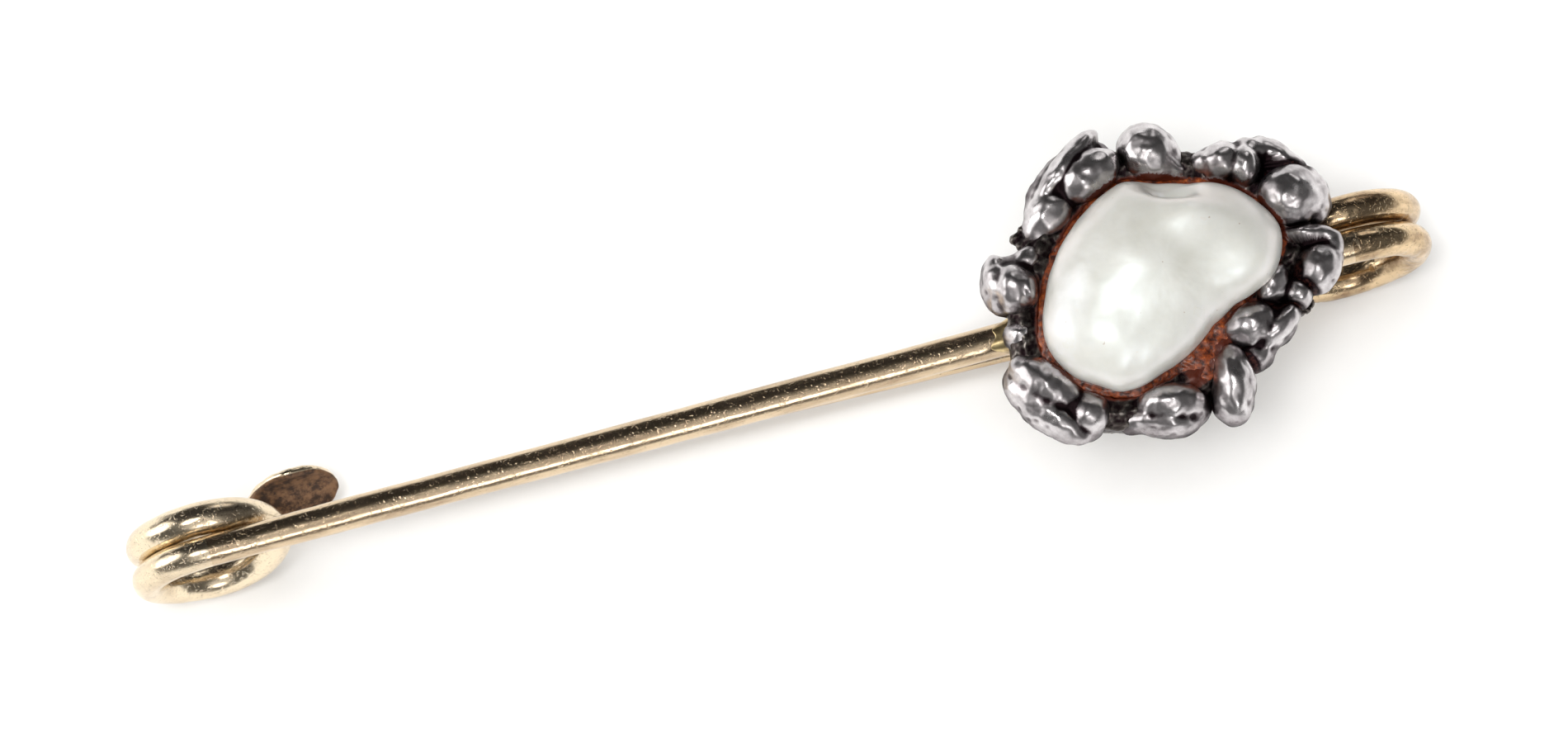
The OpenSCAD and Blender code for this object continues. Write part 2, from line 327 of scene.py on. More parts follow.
# One tree sweeps every wire: a round profile along a line, dented a little by noise that
# depends only on where the surface is, so neighbouring wires run on into each other.
def wireTree():
    tree = bpy.data.node_groups.new("sweptWire", "GeometryNodeTree")
    ports = {}
    for name, kind, start in (
        ("Line", "NodeSocketGeometry", None),
        ("Sides", "NodeSocketInt", 64),
        ("Waviness", "NodeSocketFloat", 0.006),
        ("Wave Size", "NodeSocketFloat", 2.5),
        ("Dent Depth", "NodeSocketFloat", 0.01),
        ("Dent Size", "NodeSocketFloat", 0.6),
        ("Finish", "NodeSocketMaterial", None),
    ):
        socket = tree.interface.new_socket(name, in_out="INPUT", socket_type=kind)
        if start is not None:
            socket.default_value = start
        ports[name] = socket.identifier
    tree.interface.new_socket("Wire", in_out="OUTPUT", socket_type="NodeSocketGeometry")
    given = addNode(tree, "NodeGroupInput").outputs
    curve = addNode(tree, "GeometryNodeMeshToCurve", {0: given["Line"]})
    level = addNode(
        tree, "GeometryNodeSetCurveNormal", {"Curve": curve.outputs[0], "Normal": (0, 1, 0)}, mode="FREE"
    )
    circle = addNode(
        tree, "GeometryNodeCurvePrimitiveCircle", {"Resolution": given["Sides"], "Radius": 1.0}
    )
    here = addNode(tree, "GeometryNodeInputPosition").outputs[0]
    profile = addNode(
        tree,
        "GeometryNodeStoreNamedAttribute",
        {"Geometry": circle.outputs[0], "Name": "rim", "Value": here},
        data_type="FLOAT_VECTOR",
    )
    thick = addNode(tree, "GeometryNodeInputNamedAttribute", {"Name": "wireRadius"}).outputs[0]
    swept = addNode(
        tree,
        "GeometryNodeCurveToMesh",
        {"Curve": level.outputs[0], "Profile Curve": profile.outputs[0], "Scale": thick, "Fill Caps": True},
    )
    rim = addNode(
        tree, "GeometryNodeInputNamedAttribute", {"Name": "rim"}, data_type="FLOAT_VECTOR"
    ).outputs[0]
    along = addNode(tree, "GeometryNodeInputNamedAttribute", {"Name": "along"}).outputs[0]
    rimInMm = addNode(tree, "ShaderNodeVectorMath", {0: rim, 3: thick}, operation="SCALE").outputs[0]
    around = addNode(tree, "ShaderNodeSeparateXYZ", {0: rimInMm}).outputs
    space = addNode(tree, "ShaderNodeCombineXYZ", {0: along, 1: around[0], 2: around[1]}).outputs[0]
    mapped = addNode(
        tree,
        "GeometryNodeStoreNamedAttribute",
        {"Geometry": swept.outputs[0], "Name": "wireSpace", "Value": space},
        data_type="FLOAT_VECTOR",
    )
    waveScale = addNode(
        tree, "ShaderNodeMath", {0: 1.0, 1: given["Wave Size"]}, operation="DIVIDE"
    ).outputs[0]
    dentScale = addNode(
        tree, "ShaderNodeMath", {0: 1.0, 1: given["Dent Size"]}, operation="DIVIDE"
    ).outputs[0]
    wave = addNode(
        tree, "ShaderNodeTexNoise", {"Vector": here, "Scale": waveScale, "Detail": 1}
    ).outputs["Fac"]
    dents = addNode(
        tree, "ShaderNodeTexNoise", {"Vector": here, "Scale": dentScale, "Detail": 2}
    ).outputs["Fac"]
    swell = addNode(tree, "ShaderNodeMapRange", {0: wave, 1: 0.3, 2: 0.7, 3: -1.0, 4: 1.0}).outputs[0]
    dent = addNode(
        tree,
        "ShaderNodeMapRange",
        {0: dents, 1: 0.54, 2: 0.68, 3: 0.0, 4: -1.0},
        interpolation_type="SMOOTHSTEP",
    ).outputs[0]
    high = addNode(
        tree, "ShaderNodeMath", {0: swell, 1: given["Waviness"]}, operation="MULTIPLY"
    ).outputs[0]
    low = addNode(
        tree, "ShaderNodeMath", {0: dent, 1: given["Dent Depth"], 2: high}, operation="MULTIPLY_ADD"
    ).outputs[0]
    outward = addNode(tree, "GeometryNodeInputNormal").outputs[0]
    push = addNode(tree, "ShaderNodeVectorMath", {0: outward, 3: low}, operation="SCALE").outputs[0]
    shaped = addNode(tree, "GeometryNodeSetPosition", {"Geometry": mapped.outputs[0], "Offset": push})
    corners = addNode(tree, "GeometryNodeInputMeshFaceNeighbors").outputs["Vertex Count"]
    side = addNode(
        tree, "FunctionNodeCompare", {"A": corners, "B": 4}, data_type="INT", operation="EQUAL"
    ).outputs[0]
    shaded = addNode(
        tree, "GeometryNodeSetShadeSmooth", {"Geometry": shaped.outputs[0], "Shade Smooth": side}
    )
    real = addNode(tree, "GeometryNodeRealizeInstances", {"Geometry": shaded.outputs[0]})
    finished = addNode(
        tree, "GeometryNodeSetMaterial", {"Geometry": real.outputs[0], "Material": given["Finish"]}
    )
    addNode(tree, "NodeGroupOutput", {0: finished.outputs[0]})
    return tree, ports


sweptWire, wirePorts = wireTree()


def wirePiece(name, line, radii, along, finish, values):
    host = bpy.data.meshes.new(name)
    edges = [(i, i + 1) for i in range(len(line) - 1)]
    host.from_pydata([tuple(float(c) for c in p) for p in line], edges, [])
    store(host, "wireRadius", radii)
    store(host, "along", along)
    piece = bpy.data.objects.new(name, host)
    bpy.context.scene.collection.objects.link(piece)
    modifier = piece.modifiers.new("sweptWire", "NODES")
    modifier.node_group = sweptWire
    for port, value in dict(values, Finish=finish).items():
        modifier[wirePorts[port]] = value
    settle(piece)
    return piece


barWire = {
    "radius": (0.70, 0.77),  # at the catch and at the spring
    "step": 0.15,
    "sunkEnds": 0.006,  # how much thinner it is inside the coils, so that no two faces share a place
    "wear": {"Sides": 64, "Waviness": 0.012, "Wave Size": 3.5, "Dent Depth": 0.008, "Dent Size": 0.7},
}
reach = np.arange(catchX - joinOverlap, springX + joinOverlap + 0.01, barWire["step"])
share = np.clip((reach - catchX) / (springX - catchX), 0, 1)
radii = barWire["radius"][0] + (barWire["radius"][1] - barWire["radius"][0]) * share
radii = radii - np.where((reach < catchX) | (reach > springX), barWire["sunkEnds"], 0)
line = np.stack([reach, np.full_like(reach, barY), np.full_like(reach, barZ)], 1)
bar = wirePiece("front_bar_wire", line, radii, reach, barGold, barWire["wear"])
fit(bar, "gold", "front_bar")


catchCoil = {
    "radius": 2.98,  # to the middle of the wire
    "pitch": 1.5,
    "wire": (0.70, 0.78, 0.78, 0.66),  # wire radius at each half turn
    "tuck": 0.10,  # how much tighter the second turn is wound
    "wear": {"Sides": 72, "Waviness": 0.02, "Wave Size": 2.2, "Dent Depth": 0.012, "Dent Size": 0.6},
}
springCoil = {
    "radius": 3.2,
    "pitch": 1.6,
    "wire": (0.77, 0.79, 0.76, 0.64),
    "tuck": 0.0,
    "wear": {"Sides": 72, "Waviness": 0.02, "Wave Size": 1.6, "Dent Depth": 0.025, "Dent Size": 0.5},
}
halfTurns = np.arange(0, 541, 180)  # degrees wound, where the wire's thickness is given


def coilLine(coil, startX, side):
    # one and a half turns about Y; side -1 winds out to -X, side 1 to +X
    turn = np.radians(np.arange(0, halfTurns[-1] + 0.1, 2.0))
    tucked = ease((turn - math.pi) / math.pi) * ease((3 * math.pi - turn) / (0.8 * math.pi))
    winding = coil["radius"] - coil["tuck"] * tucked
    stepOver = np.clip((turn - math.pi) / math.pi, 0, 1)
    x = startX + side * winding * np.sin(turn)
    y = barY + coil["pitch"] / 2 * (1 - np.cos(math.pi * stepOver))
    z = barZ - coil["radius"] + winding * np.cos(turn)
    radii = np.interp(turn, np.radians(halfTurns), coil["wire"])
    along = startX + side * turn * coil["radius"]
    return np.stack([x, y, z], 1), radii, along


line, radii, along = coilLine(catchCoil, catchX, -1)
catchTurns = wirePiece("catch_coil_wire", line, radii, along, catchGold, catchCoil["wear"])
fit(catchTurns, "gold", "catch_coil")
line, radii, along = coilLine(springCoil, springX, 1)
springTurns = wirePiece("spring_coil_wire", line, radii, along, springGold, springCoil["wear"])
fit(springTurns, "gold", "spring_coil", body=None)
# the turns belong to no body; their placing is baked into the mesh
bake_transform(springTurns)


pinStem = {
    "radius": 0.475,
    "rootRadius": 0.634,  # where it leaves the spring
    "root": (springX - 0.06, barY + springCoil["pitch"], barZ - 2 * springCoil["radius"]),
    "lean": -0.0193,  # sideways per mm along the bar
    "rise": -0.0348,
    "straight": (13.5, -13.5),
    "bend": 0.8,
    "point": -23.1,
    "pointRadius": 0.12,
    "wear": {"Sides": 48, "Waviness": 0.006, "Wave Size": 4.0, "Dent Depth": 0.004, "Dent Size": 0.6},
}
rootX = pinStem["root"][0]
straightFrom, straightTo = pinStem["straight"]
shaft = np.arange(rootX + joinOverlap, pinStem["point"], -barWire["step"])
roundedEnd = pinStem["point"] - pinStem["pointRadius"] * np.sin(np.radians([30, 55, 75, 86]))
spots = np.concatenate([shaft, roundedEnd])
settled = ease((rootX - spots) / (rootX - straightFrom)) ** pinStem["bend"]
lineY = pinStem["lean"] * spots * settled + pinStem["root"][1] * (1 - settled)
lineZ = pinStem["rise"] * spots * settled + pinStem["root"][2] * (1 - settled)
radii = np.interp(
    -spots,
    [-rootX, -straightFrom, -straightTo, -pinStem["point"]],
    [pinStem["rootRadius"], pinStem["radius"], pinStem["radius"], pinStem["pointRadius"]],
)
beyond = np.clip((pinStem["point"] - spots) / pinStem["pointRadius"], 0, 1)
radii = radii * np.sqrt(np.clip(1 - beyond**2, 0.0001, 1))
stem = wirePiece(
    "pin_stem_wire", np.stack([spots, lineY, lineZ], 1), radii, spots, stemGold, pinStem["wear"]
)
fit(stem, "gold", "pin_stem", body="stem")


# The catch: the coil's wire is hammered out to a leaf, which is rolled up about the stem's line.
leafHook = {
    "middleY": barY + 1.71,
    "middleZ": barZ - 2 * catchCoil["radius"] + 1.63,
    "wireRadius": 0.655,  # where the wire goes over into the leaf
    "wireRoll": 1.643,
    "rolled": 1.71,  # radius of the roll, to the middle of the leaf's thickness
    "leafThickness": 0.40,
    "flattenOver": 2.2,
    "roundedEnd": 0.2,
    "sections": 110,
    "sides": 84,
    # distance along the bar, lower and upper edge of the section in degrees round the roll
    "edges": [
        (-25.84, -30.2, 15.6), (-25.3, -30, 17), (-24.7, -29, 23), (-24.1, -26, 35), (-23.48, -20, 56),
        (-22.90, -14, 78), (-22.31, -10, 101), (-21.56, -8, 108), (-20.95, -5, 102), (-20.45, 2, 89),
        (-19.98, 12, 69), (-19.66, 24, 54), (-19.54, 34, 42),
    ],
    "edgeRipple": 0.02,
    "rollRipple": 0.05,
    "softening": 60,  # rounds of smoothing on the two edges
    "insideShadeFrom": (-24.2, 0.8),  # along the bar, and over what length it sets in
}
table = np.array(leafHook["edges"])
x0, x1 = table[0, 0], table[-1, 0]
# closer near the tip
stations = x0 + (x1 - x0) * np.sin(np.linspace(0, math.pi / 2, leafHook["sections"])) ** 1.15
lower = np.interp(stations, table[:, 0], table[:, 1])
upper = np.interp(stations, table[:, 0], table[:, 2])
for _ in range(leafHook["softening"]):  # with both ends held
    lower[1:-1] += 0.25 * (lower[:-2] - 2 * lower[1:-1] + lower[2:])
    upper[1:-1] += 0.25 * (upper[:-2] - 2 * upper[1:-1] + upper[2:])
flatness = ease((stations - x0) / leafHook["flattenOver"])
halfThick = leafHook["wireRadius"] + (leafHook["leafThickness"] / 2 - leafHook["wireRadius"]) * flatness
rollRadius = leafHook["wireRoll"] + (leafHook["rolled"] - leafHook["wireRoll"]) * flatness
leafPoints, leafSpace = [], []
sideCount = leafHook["sides"]
walk = np.linspace(0, 1, sideCount, endpoint=False)
for i, x in enumerate(stations):
    half = rollRadius[i] * math.radians(upper[i] - lower[i]) / 2
    middle = math.radians(upper[i] + lower[i]) / 2
    pastEnd = max(0, (x - x1) / leafHook["roundedEnd"] + 1)
    closing = math.sqrt(max(0.004, 1 - pastEnd**2))
    thick = min(halfThick[i], half) * closing
    flat = max(half - thick, 0.01)
    # a flat section with two round edges: p runs across the leaf, q through its thickness
    for s in walk * (4 * flat + 2 * math.pi * thick):
        if s < 2 * flat:
            p, q = s - flat, -thick
        elif s < 2 * flat + math.pi * thick:
            turn = (s - 2 * flat) / thick
            p, q = flat + thick * math.sin(turn), -thick * math.cos(turn)
        elif s < 4 * flat + math.pi * thick:
            p, q = flat - (s - 2 * flat - math.pi * thick), thick
        else:
            turn = (s - 4 * flat - math.pi * thick) / thick
            p, q = -flat - thick * math.sin(turn), thick * math.cos(turn)
        angle = middle + p / rollRadius[i]
        radius = rollRadius[i] - q
        y = leafHook["middleY"] + radius * math.sin(angle)
        z = leafHook["middleZ"] - radius * math.cos(angle)
        leafPoints.append((x, y, z))
        leafSpace.append((x, p, q))
leafFaces = []
for i in range(len(stations) - 1):
    here, there = i * sideCount, (i + 1) * sideCount
    for j in range(sideCount):
        k = (j + 1) % sideCount
        leafFaces.append((here + j, here + k, there + k, there + j))
lastSection = (len(stations) - 1) * sideCount
leafFaces += [tuple(reversed(range(sideCount))), tuple(range(lastSection, lastSection + sideCount))]
leaf = meshPiece("catch_hook_leaf", leafPoints, leafFaces, catchGold)
store(leaf.data, "wireSpace", leafSpace, "FLOAT_VECTOR")
points, outward = readPoints(leaf.data), readPoints(leaf.data, "normal")
free = ease((points[:, 0] - x0) / 1.5)[:, None]
ripple = leafHook["rollRipple"] * lumps(points, 1.3, 3) + leafHook["edgeRipple"] * lumps(points, 0.3, 4)
points += free * outward * ripple[:, None]
writePoints(leaf.data, points)
leafSpace = np.array(leafSpace)
# The inside of the roll is painted dark brown as shade, from this point along the bar on.
shadeStartX, shadeOver = leafHook["insideShadeFrom"]
insideRoll = ease((leafSpace[:, 2] + 0.02) / 0.12)
store(leaf.data, "grimeAndShade", insideRoll * ease((leafSpace[:, 0] - shadeStartX) / shadeOver))
fit(leaf, "gold", "catch_hook")
print("wires done")


# The pearl's outline: heading in degrees and distance from its middle.
pearlShape = {
    "outline": [
        (-174, 5.53), (-165, 5.86), (-155, 5.95), (-146, 5.91), (-134, 5.59), (-124, 5.48), (-115, 5.02),
        (-106, 4.42), (-90, 3.83), (-75, 3.43), (-58, 3.13), (-35, 3.44), (-18, 4.16), (-8, 5.01),
        (-1, 5.43), (7, 5.69), (15, 5.65), (28, 5.37), (41, 4.98), (57, 4.47), (76, 4.32),
        (96, 4.57), (108, 4.47), (123, 4.38), (139, 4.43), (157, 4.61), (173, 5.03),
    ],
    "dome": 2.15,
    "fullness": 0.65,  # below 1 makes the top flatter and the sides steeper
    "seat": 1.1,
    "seatWidth": 0.35,
    # swellings and hollows: middle in the cluster, length, width, heading in degrees, height
    "swellings": [
        (-0.95, 0.95, 1.7, 1.35, -15, 0.54), (3.9, -0.45, 1.25, 1.0, 70, 0.58),
        (1.75, 2.2, 1.05, 0.8, -20, 0.64), (-3.2, -2.1, 1.7, 1.3, 50, 0.04),
        (1.35, 3.65, 0.85, 0.42, -33, -0.95), (-2.3, -3.7, 1.3, 0.45, 52, -0.13),
        (1.4, -1.7, 1.8, 0.7, 40, -0.14),
    ],
    "baroque": 0.06,  # height of the slow bumps
    "grain": 0.006,
}
headings, reaches = (np.array(column) for column in zip(*pearlShape["outline"]))
ringAngles = np.arange(720) / 2
outlineFine = np.interp(ringAngles, headings, reaches, period=360)
nearby = np.arange(-12, 13)  # half degrees over which the outline's corners are rounded
softening = np.exp(-0.5 * (nearby / 5.0) ** 2)
softening /= softening.sum()
outlineFine = sum(weight * np.roll(outlineFine, k) for k, weight in zip(nearby, softening))


def pearlReach(x, y):
    # distance from the pearl's middle, and the outline's distance on that heading
    dx, dy = np.asarray(x) - pearlX, np.asarray(y) - pearlY
    heading = np.degrees(np.arctan2(dy, dx)) % 360
    return np.hypot(dx, dy), np.interp(heading, ringAngles, outlineFine, period=360)


# Nacre: thin layers give a milky body, which light enters a little way, and broad soft
# highlights, brighter than one bare surface would give, with a trace of pink and green.
pearlLook = {
    "body": "#D2D2CC",
    "shade": "#BEBDB3",
    "speck": "#8A6A4A",
    "patchSize": 1.9,
    "speckSize": 0.3125,
    "dimpleSize": 0.35,
    "dimpleDepth": 0.012,
    "gloss": (0.27, 0.36),
    "layers": {
        "Subsurface Weight": 0.3,
        "Subsurface Scale": 0.0008,
        "Subsurface Radius": (1.0, 0.8, 0.6),
        "IOR": 1.55,
        "Coat Weight": 1.0,
        "Coat Roughness": 0.36,
        "Coat IOR": 2.4,
        "Thin Film Thickness": 340,
        "Thin Film IOR": 1.4,
        "Sheen Weight": 0.15,
    },
}
nacre, tree, shader = newMaterial("bareNacre")
inMm = inMillimetres(tree)
patch = addNode(
    tree,
    "ShaderNodeTexNoise",
    {"Vector": inMm, "Scale": 1 / pearlLook["patchSize"], "Detail": 4, "Roughness": 0.55},
)
tone = addNode(tree, "ShaderNodeMapRange", {0: patch.outputs["Fac"], 1: 0.35, 2: 0.7, 4: 0.8})
body = addNode(
    tree,
    "ShaderNodeMix",
    {0: tone.outputs[0], 6: linear(pearlLook["body"]), 7: linear(pearlLook["shade"])},
    data_type="RGBA",
)
pits = addNode(
    tree, "ShaderNodeTexNoise", {"Vector": inMm, "Scale": 1 / pearlLook["speckSize"], "Detail": 2}
)
pit = addNode(tree, "ShaderNodeMapRange", {0: pits.outputs["Fac"], 1: 0.735, 2: 0.77, 4: 0.6})
spotted = addNode(
    tree,
    "ShaderNodeMix",
    {0: pit.outputs[0], 6: body.outputs[2], 7: linear(pearlLook["speck"])},
    data_type="RGBA",
)
dimples = addNode(
    tree, "ShaderNodeTexNoise", {"Vector": inMm, "Scale": 1 / pearlLook["dimpleSize"], "Detail": 3}
)
dimpleDepth = pearlLook["dimpleDepth"] * mm
dimpled = addNode(
    tree, "ShaderNodeBump", {"Height": dimples.outputs["Fac"], "Distance": dimpleDepth, "Strength": 0.5}
)
glossiest, dullest = pearlLook["gloss"]
gloss = addNode(
    tree, "ShaderNodeMapRange", {0: patch.outputs["Fac"], 1: 0.3, 2: 0.7, 3: glossiest, 4: dullest}
)
for socket, value in pearlLook["layers"].items():
    shader.inputs[socket].default_value = value
tree.links.new(spotted.outputs[2], shader.inputs["Base Color"])
tree.links.new(gloss.outputs[0], shader.inputs["Roughness"])
tree.links.new(dimpled.outputs[0], shader.inputs["Normal"])


def polarPiece(name, rings, material, closed=False):
    # rings: arrays of points, each going round anticlockwise seen from above, from the top down
    count = len(rings[0])
    points = [p for ring in rings for p in ring]
    faces = []
    last = len(rings) if closed else len(rings) - 1
    for i in range(last):
        k = (i + 1) % len(rings)
        for j in range(count):
            n = (j + 1) % count
            faces.append((i * count + j, k * count + j, k * count + n, i * count + n))
    if not closed:
        middleTop = np.mean(rings[0], axis=0)
        middleLow = np.mean(rings[-1], axis=0)
        base = len(points)
        points += [middleTop, middleLow]
        start = (len(rings) - 1) * count
        faces += [(base, j, (j + 1) % count) for j in range(count)]
        faces += [(base + 1, start + (j + 1) % count, start + j) for j in range(count)]
    return meshPiece(name, points, faces, material)


angles = np.radians(np.arange(0, 360, 1.5))  # the headings of every ring's points
ringReach = np.interp(np.degrees(angles), ringAngles, outlineFine, period=360)


def ringAt(r, z):
    # a ring round the pearl's middle, at one distance on each heading
    return np.stack([pearlX + r * np.cos(angles), pearlY + r * np.sin(angles), np.full_like(r, z)], 1)


rings = []
seatWidth, lowest = pearlShape["seatWidth"], math.radians(70)
for a in np.concatenate([np.radians(np.linspace(88.5, 0, 70)), np.radians(np.linspace(-6, -70, 12))]):
    if a > 0:
        inward, height = math.cos(a) ** pearlShape["fullness"], pearlShape["dome"] * math.sin(a)
    else:
        inward = seatWidth + (1 - seatWidth) * math.cos(a)
        height = pearlShape["seat"] * math.sin(a) / math.sin(lowest)
    rings.append(ringAt(ringReach * inward, girdleZ + height))
pearl = polarPiece("baroque_pearl", rings, nacre)
points, outward = readPoints(pearl.data), readPoints(pearl.data, "normal")
push = pearlShape["baroque"] * lumps(points, 2.6, 1) + pearlShape["grain"] * lumps(points, 0.35, 2)
for x, y, long, wide, heading, height in pearlShape["swellings"]:
    c, s = math.cos(math.radians(heading)), math.sin(math.radians(heading))
    dx, dy = points[:, 0] - head.x - x, points[:, 1] - head.y - y
    spread = ((dx * c + dy * s) / long) ** 2 + ((dy * c - dx * s) / wide) ** 2
    push += height * np.exp(-0.5 * spread) * ease((points[:, 2] - girdleZ + 0.3) / 0.8)
writePoints(pearl.data, points + outward * push[:, None])
fit(pearl, "pearl", "pearl")


# Brown cement, once soft, pressed up round the pearl and set in a crumbly, glossy bead. It
# gives the red-brown line that parts the pearl from the silver.
cementLook = {
    "red": "#7C3816",
    "dark": "#2E1009",
    "light": "#A85C2A",
    "grainSize": 0.28,
    "grainDepth": 0.08,
    "surface": {
        "Roughness": 0.42,
        "Coat Weight": 0.45,
        "Coat Roughness": 0.2,
        "Subsurface Weight": 0.1,
        "Subsurface Scale": 0.0004,
    },
}
cementShape = {
    "inner": 0.85,  # how far in under the pearl it goes, as a share of the outline
    "width": 0.32,
    "wideHeadings": (-78, -40),  # where it has spilled out between two nuggets
    "wideWidth": 1.5,
    "fade": 14,  # degrees over which the spill ends
    "sunk": 0.14,  # its top, below the pearl's widest outline
    "sag": 0.10,
    "slope": 0.35,
    "foot": plateTop - 0.02,
}
cementFinish, tree, shader = newMaterial("setResinCement")
inMm = inMillimetres(tree)
grain = addNode(
    tree,
    "ShaderNodeTexNoise",
    {"Vector": inMm, "Scale": 1 / cementLook["grainSize"], "Detail": 4, "Roughness": 0.65},
)
deep = addNode(tree, "ShaderNodeMapRange", {0: grain.outputs["Fac"], 1: 0.38, 2: 0.58})
red = addNode(
    tree,
    "ShaderNodeMix",
    {0: deep.outputs[0], 6: linear(cementLook["dark"]), 7: linear(cementLook["red"])},
    data_type="RGBA",
)
crumb = addNode(tree, "ShaderNodeMapRange", {0: grain.outputs["Fac"], 1: 0.6, 2: 0.7})
crumbs = addNode(
    tree,
    "ShaderNodeMix",
    {0: crumb.outputs[0], 6: red.outputs[2], 7: linear(cementLook["light"])},
    data_type="RGBA",
)
gritty = addNode(
    tree,
    "ShaderNodeBump",
    {"Height": grain.outputs["Fac"], "Distance": cementLook["grainDepth"] * mm, "Strength": 0.8},
)
for socket, value in cementLook["surface"].items():
    shader.inputs[socket].default_value = value
tree.links.new(crumbs.outputs[2], shader.inputs["Base Color"])
tree.links.new(gritty.outputs[0], shader.inputs["Normal"])

degrees = (np.degrees(angles) + 180) % 360 - 180
fromWide, toWide = cementShape["wideHeadings"]
fade = cementShape["fade"]
widening = ease((degrees - fromWide + fade) / fade) * ease((toWide + fade - degrees) / fade)
bead = cementShape["width"] + (cementShape["wideWidth"] - cementShape["width"]) * widening
bead = bead + 0.07 * np.sin(7 * angles + 1) + 0.05 * np.sin(13 * angles + 2)
top, foot = girdleZ - cementShape["sunk"], cementShape["foot"]
innerReach, outerReach = ringReach * cementShape["inner"], ringReach + bead
rings = []
for t in np.linspace(0, 1, 26):
    sag = cementShape["sag"] * math.sin(math.pi * t) + cementShape["slope"] * t**3
    rings.append(ringAt(innerReach * (1 - t) + outerReach * t, top - sag))
edge = top - sag
for t in np.linspace(0.15, 1, 6):
    rings.append(ringAt(outerReach, edge * (1 - t) + foot * t))
rings.append(ringAt(innerReach, foot))
cement = polarPiece("cement_bead", rings, cementFinish, closed=True)
points, outward = readPoints(cement.data), readPoints(cement.data, "normal")
lumpy = 0.09 * lumps(points, 0.55, 6) + 0.05 * lumps(points, 0.22, 7)
lumpy *= ease((points[:, 2] - plateTop) / 0.5)
writePoints(cement.data, points + outward * lumpy[:, None])
fit(cement, "red_cement", "cement_bed")
print("pearl and cement done")


# Melted silver drops, darkened all over and rubbed bright again on their high spots. Shade is
# painted on as well: each drop sinks to black at its foot and darkens on its sides, so that it
# shines on top. Cement has run into the hollows beside the pearl.
silverLook = {
    "bright": "#DEDADB",
    "dull": "#8B8486",
    # black of the oxide in the hollows, also used as painted shade at each drop's foot and sides
    "oxideAndShade": "#251B1E",
    "residue": "#4A1D10",
    "cloudSize": 0.9,
    "pitSize": 0.14,
    "pitDepth": 0.006,
    "smoothest": 0.26,
    "roughest": 0.5,
}


def castSilver(name, look):
    material, tree, shader = newMaterial(name)
    inMm = inMillimetres(tree)
    patinaAndShade = addNode(tree, "ShaderNodeAttribute", attribute_name="patinaAndShade").outputs["Fac"]
    resin = addNode(tree, "ShaderNodeAttribute", attribute_name="resin").outputs["Fac"]
    cloud = addNode(
        tree,
        "ShaderNodeTexNoise",
        {"Vector": inMm, "Scale": 1 / look["cloudSize"], "Detail": 5, "Roughness": 0.65},
    )
    pits = addNode(
        tree,
        "ShaderNodeTexNoise",
        {"Vector": inMm, "Scale": 1 / look["pitSize"], "Detail": 2, "Roughness": 0.6},
    )
    # oxide in the hollows plus painted shade at the drops' foot and sides, with cloudy oxide, first dulls
    # the metal and then blackens it
    patinaAndShadeLevel = addNode(
        tree, "ShaderNodeMath", {0: cloud.outputs["Fac"], 1: 0.9, 2: patinaAndShade}, operation="MULTIPLY_ADD"
    ).outputs[0]
    dulledAndShaded = addNode(tree, "ShaderNodeMapRange", {0: patinaAndShadeLevel, 1: 0.30, 2: 0.72}).outputs[0]
    black = addNode(tree, "ShaderNodeMapRange", {0: patinaAndShadeLevel, 1: 0.62, 2: 1.06}).outputs[0]
    metal = addNode(
        tree,
        "ShaderNodeMix",
        {0: dulledAndShaded, 6: linear(look["bright"]), 7: linear(look["dull"])},
        data_type="RGBA",
    )
    oxidisedAndShaded = addNode(
        tree, "ShaderNodeMix", {0: black, 6: metal.outputs[2], 7: linear(look["oxideAndShade"])}, data_type="RGBA"
    )
    ragged = addNode(
        tree, "ShaderNodeMath", {0: pits.outputs["Fac"], 1: 0.6, 2: resin}, operation="MULTIPLY_ADD"
    ).outputs[0]
    stained = addNode(tree, "ShaderNodeMapRange", {0: ragged, 1: 0.68, 2: 0.95}).outputs[0]
    colour = addNode(
        tree,
        "ShaderNodeMix",
        {0: stained, 6: oxidisedAndShaded.outputs[2], 7: linear(look["residue"])},
        data_type="RGBA",
    )
    bare = addNode(tree, "ShaderNodeMapRange", {0: stained, 3: 1.0, 4: 0.15}).outputs[0]
    rough = addNode(
        tree, "ShaderNodeMapRange", {0: patinaAndShadeLevel, 1: 0.3, 2: 1.2, 3: look["smoothest"], 4: look["roughest"]}
    ).outputs[0]
    pitted = addNode(
        tree,
        "ShaderNodeBump",
        {"Height": pits.outputs["Fac"], "Distance": look["pitDepth"] * mm, "Strength": 0.7},
    )
    tree.links.new(colour.outputs[2], shader.inputs["Base Color"])
    tree.links.new(bare, shader.inputs["Metallic"])
    tree.links.new(rough, shader.inputs["Roughness"])
    tree.links.new(pitted.outputs[0], shader.inputs["Normal"])
    return material


nuggetSilver = castSilver("rubbedOxidisedSilver", silverLook)
plateSilver = castSilver(
    "roughCastSilver",
    dict(silverLook, bright="#A8A39D", dull="#5E5854", pitSize=0.2, pitDepth=0.03, smoothest=0.25),
)

